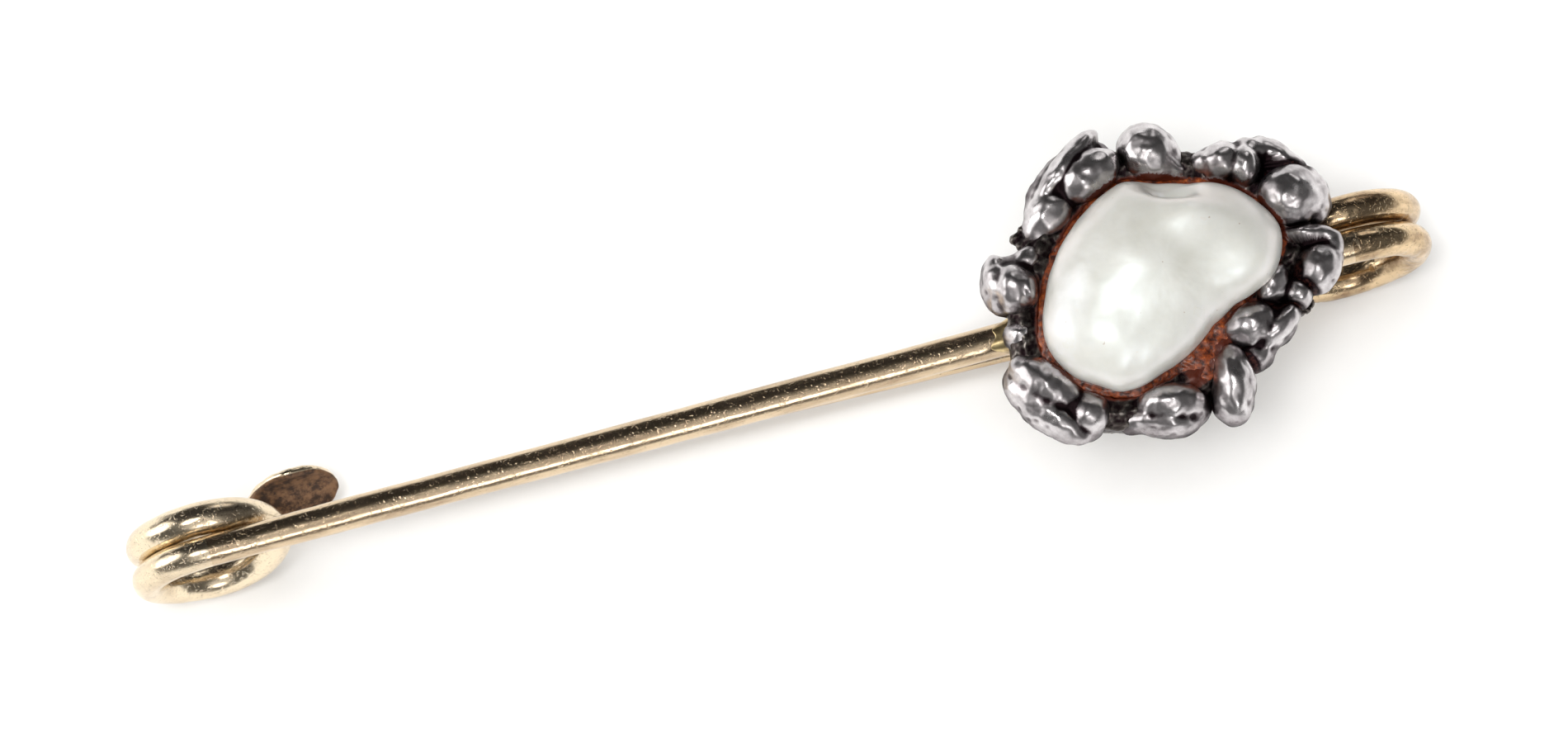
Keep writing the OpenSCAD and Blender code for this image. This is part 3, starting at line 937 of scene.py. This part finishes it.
# Each nugget is a few ellipsoids melted into one. Each ellipsoid has its middle in the cluster,
# its half length, width and height, and its heading in degrees. The first is the nugget's body,
# which stands on the plate.
nuggetShapes = {
    "knob": [
        ((-6.3, 1.75, 1.9), (1.5, 1.4, 1.2), -15),
        ((-7.05, 1.97, 2.2), (0.65, 1.3, 1.2), -10),
        ((-6.41, 1.46, 2.7), (0.95, 1.1, 1.25), 0),
        ((-5.85, 1.26, 2.8), (0.45, 0.75, 1.05), 0),
        ((-5.41, 2.65, 2.2), (0.7, 0.6, 0.75), 20),
    ],
    "bean": [
        ((-2.75, 5.55, 1.9), (2.45, 1.3, 1.1), 30),
        ((-1.83, 5.55, 2.85), (1.55, 0.98, 1.15), 25),
        ((-2.75, 6.16, 2.3), (2.25, 0.66, 1.3), 37),
        ((-3.93, 4.5, 2.2), (1.3, 1.0, 1.15), 40),
        ((-4.75, 3.85, 2.0), (0.7, 0.6, 0.8), 60),
    ],
    "dome": [
        ((1.15, 5.72, 2.0), (1.6, 1.3, 1.4), -66),
        ((0.98, 5.88, 2.4), (1.45, 1.25, 1.45), -70),
        ((1.65, 5.0, 2.0), (1.0, 0.75, 1.05), -20),
    ],
    "crumpled": [
        ((4.45, 4.25, 1.9), (1.85, 1.2, 1.15), -23),
        ((4.0, 4.6, 2.5), (1.0, 0.9, 1.25), 20),
        ((4.9, 4.15, 2.55), (0.8, 0.95, 1.25), -20),
        ((5.5, 4.75, 2.3), (0.9, 0.6, 1.0), -40),
        ((6.7, 4.0, 2.2), (1.7, 0.6, 1.0), -55),
        ((3.2, 4.85, 2.1), (0.7, 0.6, 1.0), 30),
    ],
    "ball": [
        ((6.75, 2.4, 1.9), (1.45, 1.45, 1.2), 0),
        ((6.48, 2.31, 2.75), (1.42, 1.42, 1.4), 0),
        ((7.35, 2.25, 2.2), (0.95, 1.35, 1.2), 10),
    ],
    "shoulder": [
        ((6.85, -0.7, 1.9), (1.55, 1.1, 1.1), 50),
        ((6.8, 0.4, 2.45), (1.4, 0.45, 1.0), -15),
        ((7.7, -0.25, 2.3), (0.55, 0.6, 0.8), 0),
        ((6.86, -1.1, 2.4), (1.25, 1.0, 1.15), 45),
    ],
    "finger": [
        ((5.3, -1.7, 2.2), (1.15, 0.5, 1.1), 45),
        ((5.19, -1.59, 2.9), (1.15, 0.42, 0.75), 47),
        ((5.9, -2.1, 2.4), (0.7, 0.5, 0.9), 60),
    ],
    "cheek": [
        ((3.75, -3.1, 1.9), (1.65, 1.0, 1.05), 12),
        ((3.3, -2.85, 2.55), (1.3, 0.95, 1.1), 8),
        ((4.45, -3.2, 2.25), (1.35, 0.6, 1.1), 35),
        ((3.2, -4.1, 1.9), (0.9, 0.7, 0.9), 20),
    ],
    "thumb": [
        ((1.92, -5.4, 1.9), (1.6, 0.9, 1.25), 63),
        ((2.0, -5.3, 2.4), (1.45, 0.78, 1.1), 62),
        ((1.47, -6.2, 2.0), (0.85, 0.7, 0.95), 0),
    ],
    "heel": [
        ((-1.15, -5.45, 1.9), (1.85, 1.15, 1.1), -9),
        ((-1.1, -5.3, 2.55), (1.5, 0.85, 1.15), -10),
        ((-1.6, -5.95, 2.1), (1.5, 0.7, 1.05), -20),
        ((-2.85, -5.6, 1.9), (0.7, 0.55, 0.7), 0),
    ],
    "foot": [
        ((-6.0, -3.75, 1.9), (2.55, 1.4, 1.15), -50),
        ((-6.2, -3.1, 2.65), (1.9, 0.95, 1.1), -50),
        ((-6.45, -4.15, 2.25), (2.25, 0.85, 1.15), -53),
        ((-4.7, -4.75, 2.35), (1.0, 0.95, 1.1), 0),
    ],
    "crumb": [
        ((-6.6, -0.45, 1.9), (0.85, 0.7, 0.85), 0),
        ((-6.62, -0.55, 2.2), (0.55, 0.45, 0.7), 30),
    ],
}
nuggetMelt = {
    "softness": 0.085,  # mm over which one lobe runs into the next
    "waves": 0.07,  # slow dents of the melted surface
    "waveSize": 0.85,
    "ripples": 0.007,
    "rippleSize": 0.3,
    "pearlGap": 0.1,
    "mostLean": 0.75,  # how far a nugget may be drawn in to close on the pearl
    "leanOver": 2.6,
    "overPearl": 0.25,  # how far it may lean over the pearl's edge, above the widest outline
    "mostReach": 3.6,
    "seamWidth": 0.4,  # where two nuggets meet, this much is dark
}


def nearness(points, lobe):
    # about how far outside an ellipsoid each point is, in mm
    (x, y, z), half, heading = lobe
    c, s = math.cos(math.radians(heading)), math.sin(math.radians(heading))
    d = points - np.array([head.x + x, head.y + y, head.z + z])
    local = np.stack([d[..., 0] * c + d[..., 1] * s, d[..., 1] * c - d[..., 0] * s, d[..., 2]], -1)
    length = np.linalg.norm(local / half, axis=-1)
    return (length - 1) * np.linalg.norm(local, axis=-1) / np.maximum(length, 0.001)


def meltedOutside(points, lobes):
    # how far outside the melted lobes each point is
    soft = nuggetMelt["softness"]
    return -soft * np.log(sum(np.exp(-np.clip(nearness(points, lobe) / soft, -60, 60)) for lobe in lobes))


def hollowness(mesh, rounds):
    # above 0 in creases, below 0 on ridges: how far smoothing would lift each point, in mm
    points, outward = readPoints(mesh), readPoints(mesh, "normal")
    ends = np.zeros(len(mesh.edges) * 2, np.int32)
    mesh.edges.foreach_get("vertices", ends)
    ends = ends.reshape(-1, 2)
    smoothed = points.copy()
    for _ in range(rounds):
        total, count = np.zeros_like(points), np.zeros(len(points))
        for here, there in ((0, 1), (1, 0)):
            np.add.at(total, ends[:, here], smoothed[ends[:, there]])
            np.add.at(count, ends[:, here], 1)
        smoothed = 0.5 * smoothed + 0.5 * total / np.maximum(count, 1)[:, None]
    return np.sum((smoothed - points) * outward, axis=1)


def scaleFromPearl(points, factor):
    points[:, 0] = pearlX + (points[:, 0] - pearlX) * factor
    points[:, 1] = pearlY + (points[:, 1] - pearlY) * factor


def shapeNugget(name, lobes, seed):
    # a ball's points go out from the body's middle until they leave the melted lobes
    ball = bmesh.new()
    bmesh.ops.create_icosphere(ball, subdivisions=6, radius=1)
    directions = np.array([v.co[:] for v in ball.verts])
    faces = [tuple(v.index for v in face.verts) for face in ball.faces]
    ball.free()
    middle = np.array(head) + np.array(lobes[0][0])
    steps = np.linspace(0.05, nuggetMelt["mostReach"], 40)
    outside = np.stack([meltedOutside(middle + directions * t, lobes) for t in steps], 1)
    last = np.argmax(outside[:, ::-1] < 0, axis=1)
    i = np.clip(len(steps) - 1 - last, 0, len(steps) - 2)
    row = np.arange(len(directions))
    inner, outer = outside[row, i], outside[row, i + 1]
    reach = steps[i] + (steps[1] - steps[0]) * inner / (inner - outer)
    piece = meshPiece("silver_" + name, middle + directions * reach[:, None], faces, nuggetSilver)
    mesh = piece.data
    points, outward = readPoints(mesh), readPoints(mesh, "normal")
    waves = nuggetMelt["waves"] * lumps(points, nuggetMelt["waveSize"], seed)
    ripples = nuggetMelt["ripples"] * lumps(points, nuggetMelt["rippleSize"], seed + 20)
    points += outward * (waves + ripples)[:, None]
    points[:, 2] = np.maximum(points[:, 2], plateTop - 0.05)
    reachNow, outline = pearlReach(points[:, 0], points[:, 1])
    away = reachNow - outline
    lean = np.clip(away.min() - nuggetMelt["pearlGap"], 0, nuggetMelt["mostLean"])
    lean = lean * ease(1 - (away - away.min()) / nuggetMelt["leanOver"])
    scaleFromPearl(points, (reachNow - lean) / np.maximum(reachNow, 0.01))
    reachNow, outline = pearlReach(points[:, 0], points[:, 1])
    # the pearl narrows above its widest outline, so the silver may lean in a little there
    least = outline + nuggetMelt["pearlGap"]
    least = least - nuggetMelt["overPearl"] * ease((points[:, 2] - girdleZ) / 0.9)
    scaleFromPearl(points, np.where(reachNow < least, least / np.maximum(reachNow, 0.01), 1.0))
    writePoints(mesh, points)
    others = [lobe for other, group in nuggetShapes.items() if other != name for lobe in group]
    touching = np.min(np.stack([nearness(points, lobe) for lobe in others], 1), axis=1)
    hollow = np.clip(hollowness(mesh, 60) / 0.05, -1, 1)
    # painted shade: low darkens the foot of each drop, side darkens its faces that turn away from the top
    low = ease((plateTop + 1.3 - points[:, 2]) / 1.2)
    seam = ease(1 - touching / nuggetMelt["seamWidth"])
    besidePearl = ease(1 - (reachNow - outline - 0.1) / 0.55) * ease((girdleZ + 0.9 - points[:, 2]) / 0.8)
    side = 0.2 * ease((0.6 - readPoints(mesh, "normal")[:, 2]) / 0.5)
    # dark oxide in hollows and seams, and painted shade at the foot and on the sides
    patinaAndShade = np.maximum.reduce([0.22 + 0.7 * hollow + side, seam, 0.7 * low])
    store(mesh, "patinaAndShade", np.clip(patinaAndShade, 0, 1))
    store(mesh, "resin", np.clip(np.maximum(besidePearl, seam * 0.45), 0, 1))
    fit(piece, "worn_silver", "nugget_" + name)


for seed, (name, lobes) in enumerate(nuggetShapes.items()):
    shapeNugget(name, lobes, seed + 1)
print("nuggets done")


# The plate that everything is soldered to, with a rough wall of silver grains melted into the
# gaps between the nuggets.
plateShape = {
    "voxel": 0.09,
    "wall": (0.2, 1.6),  # from and to, outward from the pearl's outline
    "wallTop": 2.65,
    # middle in the cluster, spread and number of the loose grains
    "grains": [
        (-5.0, 3.6, 1.9, 0.8, 14),
        (-6.6, -1.6, 1.9, 0.8, 14),
        (-0.5, 5.7, 1.7, 0.5, 6),
        (2.7, 4.9, 1.7, 0.5, 6),
        (0.5, -5.4, 1.7, 0.5, 6),
        (-3.4, -5.0, 1.7, 0.5, 6),
        (5.6, -2.6, 1.7, 0.4, 4),
    ],
    "grainRadius": (0.2, 0.42),
    "fillet": {"from": -5.6, "to": 6.2, "step": 0.55, "aside": 0.72, "up": 0.42, "half": (0.5, 0.26, 0.22)},
    "seed": 11,
}
random = np.random.default_rng(plateShape["seed"])
grains = []
for x, y, z, spread, count in plateShape["grains"]:
    for _ in range(count):
        size = random.uniform(*plateShape["grainRadius"])
        shift = random.normal(0, spread * 0.45, 2)
        place = (x + shift[0], y + shift[1], z + random.uniform(-0.3, 0.4))
        half = (size, size * random.uniform(0.7, 1), size * 0.8)
        grains.append((place, half, random.uniform(0, 180)))
fillet = plateShape["fillet"]  # solder drawn in along both sides of the bar
for x in np.arange(fillet["from"], fillet["to"], fillet["step"]):
    for side in (-1, 1):
        grains.append(((x, side * fillet["aside"], fillet["up"]), fillet["half"], 0))
work = bmesh.new()
work.from_mesh(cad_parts["back_plate"].data)
bmesh.ops.remove_doubles(work, verts=work.verts, dist=0.000001)
bmesh.ops.scale(work, vec=(1000, 1000, 1000), verts=work.verts)
for middle, half, heading in grains:
    turned = Matrix.Rotation(math.radians(heading), 4, "Z") @ Matrix.Diagonal((*half, 1))
    place = Matrix.Translation(head + Vector(middle)) @ turned
    bmesh.ops.create_icosphere(work, subdivisions=3, radius=1, matrix=place)
blank = bpy.data.meshes.new("plateBlank")
work.to_mesh(blank)
fromPearl, toRim = plateShape["wall"]
wallTop, wallFoot = head.z + plateShape["wallTop"], plateTop - 0.3
section = [
    (fromPearl, wallFoot),
    (fromPearl, wallTop),
    ((fromPearl + toRim) / 2, wallTop + 0.15),
    (toRim, wallTop - 0.2),
    (toRim, wallFoot),
]
rings = [ringAt(ringReach + outward, z) for outward, z in section]
wall = polarPiece("plateWall", rings, plateSilver, closed=True)
work.from_mesh(wall.data)
work.to_mesh(blank)
work.free()
bpy.data.objects.remove(wall)
plate = bpy.data.objects.new("silver_back_plate", blank)
scene = bpy.context.scene
scene.collection.objects.link(plate)
remesh = plate.modifiers.new("melt", "REMESH")
remesh.mode = "VOXEL"
remesh.voxel_size = plateShape["voxel"]
remesh.use_smooth_shade = True
relax = plate.modifiers.new("relax", "SMOOTH")
relax.factor, relax.iterations = 0.5, 3
settle(plate)
plate.data.materials.clear()
plate.data.materials.append(plateSilver)
points, outward = readPoints(plate.data), readPoints(plate.data, "normal")
rough = 0.09 * lumps(points, 0.9, 31) + 0.06 * lumps(points, 0.35, 32)
writePoints(plate.data, points + outward * rough[:, None])
points = readPoints(plate.data)
reachNow, outline = pearlReach(points[:, 0], points[:, 1])
hollow = np.clip(hollowness(plate.data, 6) / 0.02, -1, 1)
# the plate is darker on all that stands above its top face, and in its hollows
patinaAndShade = 0.2 + 0.3 * ease((points[:, 2] - plateTop + 0.3) / 0.5) + 0.3 * hollow
store(plate.data, "patinaAndShade", np.clip(patinaAndShade, 0, 1))
heading = np.degrees(np.arctan2(points[:, 1] - pearlY, points[:, 0] - pearlX))
spill = ease((heading - fromWide + 20) / 14) * ease((toWide + 20 - heading) / 14)
away = reachNow - outline
resin = np.maximum(ease(1 - (away - 0.15) / 0.45), spill * ease(1 - (away - 1.2) / 0.5))
store(plate.data, "resin", resin * ease((points[:, 2] - plateTop) / 0.4))
fit(plate, "dark_silver", "back_plate")


# Pale silver solder, flooded along the bar where it enters the cluster. It gives the dull,
# yellowish flare there.
solderLook = {"bright": "#D2BE8E", "dull": "#8F7656", "cloudSize": 0.4545, "roughness": 0.3, "grit": 0.03}
solderShape = {
    "from": 10.15,
    "to": 12.0,
    "thin": 0.02,
    "thick": 0.9,
    "flare": 1.4,  # above 1 keeps it thin for longer
    "radius": 0.70,  # under the bar, where it is hidden
    "onTop": 0.045,
    "ripple": 0.04,
}
solderFinish, tree, shader = newMaterial("floodedSolder")
inMm = inMillimetres(tree)
cloud = addNode(
    tree, "ShaderNodeTexNoise", {"Vector": inMm, "Scale": 1 / solderLook["cloudSize"], "Detail": 4}
)
patchy = addNode(tree, "ShaderNodeMapRange", {0: cloud.outputs["Fac"], 1: 0.4, 2: 0.65})
colour = addNode(
    tree,
    "ShaderNodeMix",
    {0: patchy.outputs[0], 6: linear(solderLook["bright"]), 7: linear(solderLook["dull"])},
    data_type="RGBA",
)
gritty = addNode(
    tree,
    "ShaderNodeBump",
    {"Height": cloud.outputs["Fac"], "Distance": solderLook["grit"] * mm, "Strength": 0.8},
)
shader.inputs["Metallic"].default_value = 1
shader.inputs["Roughness"].default_value = solderLook["roughness"]
tree.links.new(colour.outputs[2], shader.inputs["Base Color"])
tree.links.new(gritty.outputs[0], shader.inputs["Normal"])
turn = np.radians(np.arange(0, 360, 5))
front = solderShape["from"] + 0.25 * np.sin(2 * turn + 1) + 0.15 * np.sin(5 * turn)
above = ease((np.sin(turn) + 0.5) / 1.2)  # none of it runs round under the bar
rings = []
for t in np.linspace(0, 1, 30):
    x = front + (solderShape["to"] - front) * t
    film = solderShape["onTop"] + solderShape["thin"] * min(1, t * 12) * (1 - 0.9 * t)
    r = solderShape["radius"] + (film + solderShape["thick"] * t ** solderShape["flare"]) * above
    rings.append(np.stack([x, head.y + r * np.cos(turn), head.z + r * np.sin(turn)], 1))
solder = polarPiece("solder_joint", rings[::-1], solderFinish)
points, outward = readPoints(solder.data), readPoints(solder.data, "normal")
calmEdge = ease((points[:, 0] - solderShape["from"] - 0.15) / 0.8)
ripple = solderShape["ripple"] * lumps(points, 0.6, 41) * calmEdge
writePoints(solder.data, points + outward * ripple[:, None])
fit(solder, "pale_solder", "solder_flare")
print("cluster done")


# Plain white paper: it gives the object a soft shadow and lights its underside.
scene.view_settings.view_transform = "Standard"
paperLook = {"white": "#F5F5F4", "shade": "#F2F2F1", "fibres": 900, "roughness": 0.9, "halfSize": 3.0}
paper, tree, shader = newMaterial("whitePaper")
place = addNode(tree, "ShaderNodeTexCoord").outputs["Object"]
fibre = addNode(
    tree, "ShaderNodeTexNoise", {"Vector": place, "Scale": paperLook["fibres"], "Detail": 3}
).outputs["Fac"]
shades = {0: fibre, 6: linear(paperLook["shade"]), 7: linear(paperLook["white"])}
shade = addNode(tree, "ShaderNodeMix", shades, data_type="RGBA")
tree.links.new(shade.outputs[2], shader.inputs["Base Color"])
shader.inputs["Roughness"].default_value = paperLook["roughness"]
shader.inputs["Specular IOR Level"].default_value = 0.1
size = paperLook["halfSize"]
paperCorners = [(-size, -size, 0), (size, -size, 0), (size, size, 0), (-size, size, 0)]
floor = meshPiece("paper_floor", paperCorners, [(0, 1, 2, 3)], paper)
floor.location.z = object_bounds()[0].z

view = {
    "azimuth": -15.3,
    "elevation": 76.7,
    "lens": 180,
    "distance": 346.72,
    "middle": (0.5, barY, barZ),
    "shift": (-0.0803, 1.1314),  # to the right and upward
}
azimuth, elevation = math.radians(view["azimuth"]), math.radians(view["elevation"])
towards = Vector(
    (math.sin(azimuth) * math.cos(elevation), -math.cos(azimuth) * math.cos(elevation), math.sin(elevation))
)
rightward = Vector((math.cos(azimuth), math.sin(azimuth), 0))
upward = towards.cross(rightward)
barMiddle = Vector(view["middle"]) * mm
shiftRight, shiftUp = view["shift"]
framed = barMiddle + shiftRight * mm * rightward + shiftUp * mm * upward
camera = bpy.data.objects.new("camera", bpy.data.cameras.new("camera"))
scene.collection.objects.link(camera)
camera.data.lens = view["lens"]
camera.data.sensor_width = 36
camera.data.clip_start, camera.data.clip_end = 0.01, 20
camera.rotation_mode = "QUATERNION"
camera.rotation_quaternion = (-towards).to_track_quat("-Z", "Y")
camera.location = framed + towards * view["distance"] * mm
scene.camera = camera


def direct(off, right, up):
    # a direction that is off degrees from the view's axis, towards the right and upward
    lean = (rightward * right + upward * up).normalized()
    return towards * math.cos(math.radians(off)) + lean * math.sin(math.radians(off))


# The room, as light on a dome: a pale wall in front and at the sides, a dark one behind, a
# dark ceiling, and soft boxes with no hard edge. Each box: degrees from the view's axis, lean
# to the right, lean upward, degrees from its middle to where it starts and ends to fade, strength.
room = {
    "wall": 0.27,
    "ceiling": 0.11,
    "behind": 0.28,
    "boxes": [
        (12, -1.0, 0.1, 3.5, 9.5, 14.0),
        (42, 0.35, -0.94, 3, 11, 5.5),
        (68, -1.0, 0.1, 8, 28, 3.2),
        (78, 0.2, 1.0, 5, 14, 1.6),
        (24, 0.3, -0.95, 4, 30, 0.6),
    ],
}
world = bpy.data.worlds.new("studioRoom")
scene.world = world
world.use_nodes = True
tree = world.node_tree
sky = addNode(tree, "ShaderNodeTexCoord").outputs["Generated"]
height = addNode(tree, "ShaderNodeSeparateXYZ", {0: sky}).outputs
wall = addNode(
    tree,
    "ShaderNodeMapRange",
    {0: height[2], 1: 0.08, 2: 0.32, 3: room["wall"], 4: room["ceiling"]},
    interpolation_type="SMOOTHSTEP",
).outputs[0]
behind = addNode(
    tree,
    "ShaderNodeMapRange",
    {0: height[1], 1: -0.05, 2: 0.4, 3: 1.0, 4: room["behind"]},
    interpolation_type="SMOOTHSTEP",
).outputs[0]
glow = addNode(tree, "ShaderNodeMath", {0: wall, 1: behind}, operation="MULTIPLY").outputs[0]
for off, right, up, core, edge, strength in room["boxes"]:
    direction = direct(off, right, up)
    facing = addNode(
        tree, "ShaderNodeVectorMath", {0: sky, 1: direction[:]}, operation="DOT_PRODUCT"
    ).outputs["Value"]
    faded, full = math.cos(math.radians(edge)), math.cos(math.radians(core))
    fade = {0: facing, 1: faded, 2: full, 3: 0.0, 4: strength}
    box = addNode(tree, "ShaderNodeMapRange", fade, interpolation_type="SMOOTHSTEP").outputs[0]
    glow = addNode(tree, "ShaderNodeMath", {0: glow, 1: box}, operation="ADD").outputs[0]
background = tree.nodes["Background"]
background.inputs["Color"].default_value = (1.0, 0.985, 0.97, 1.0)
tree.links.new(glow, background.inputs["Strength"])

# Wide lamps whiten the paper. They are kept out of reflections, so the metal stays deep.
# Degrees from the view's axis, lean to the right, lean upward, size, distance and power.
lamps = {
    "overheadLamp": (20, -0.35, 0.95, 0.6, 0.7, 3.9),
    "fillLamp": (42, 0.5, -0.85, 0.9, 0.8, 3.1),
}
for name, (off, right, up, size, distance, power) in lamps.items():
    direction = direct(off, right, up)
    lamp = bpy.data.lights.new(name, "AREA")
    lamp.size = size
    lamp.energy = power
    light = bpy.data.objects.new(name, lamp)
    scene.collection.objects.link(light)
    light.visible_glossy = False
    light.location = barMiddle + direction * distance
    light.rotation_mode = "QUATERNION"
    light.rotation_quaternion = (-direction).to_track_quat("-Z", "Y")
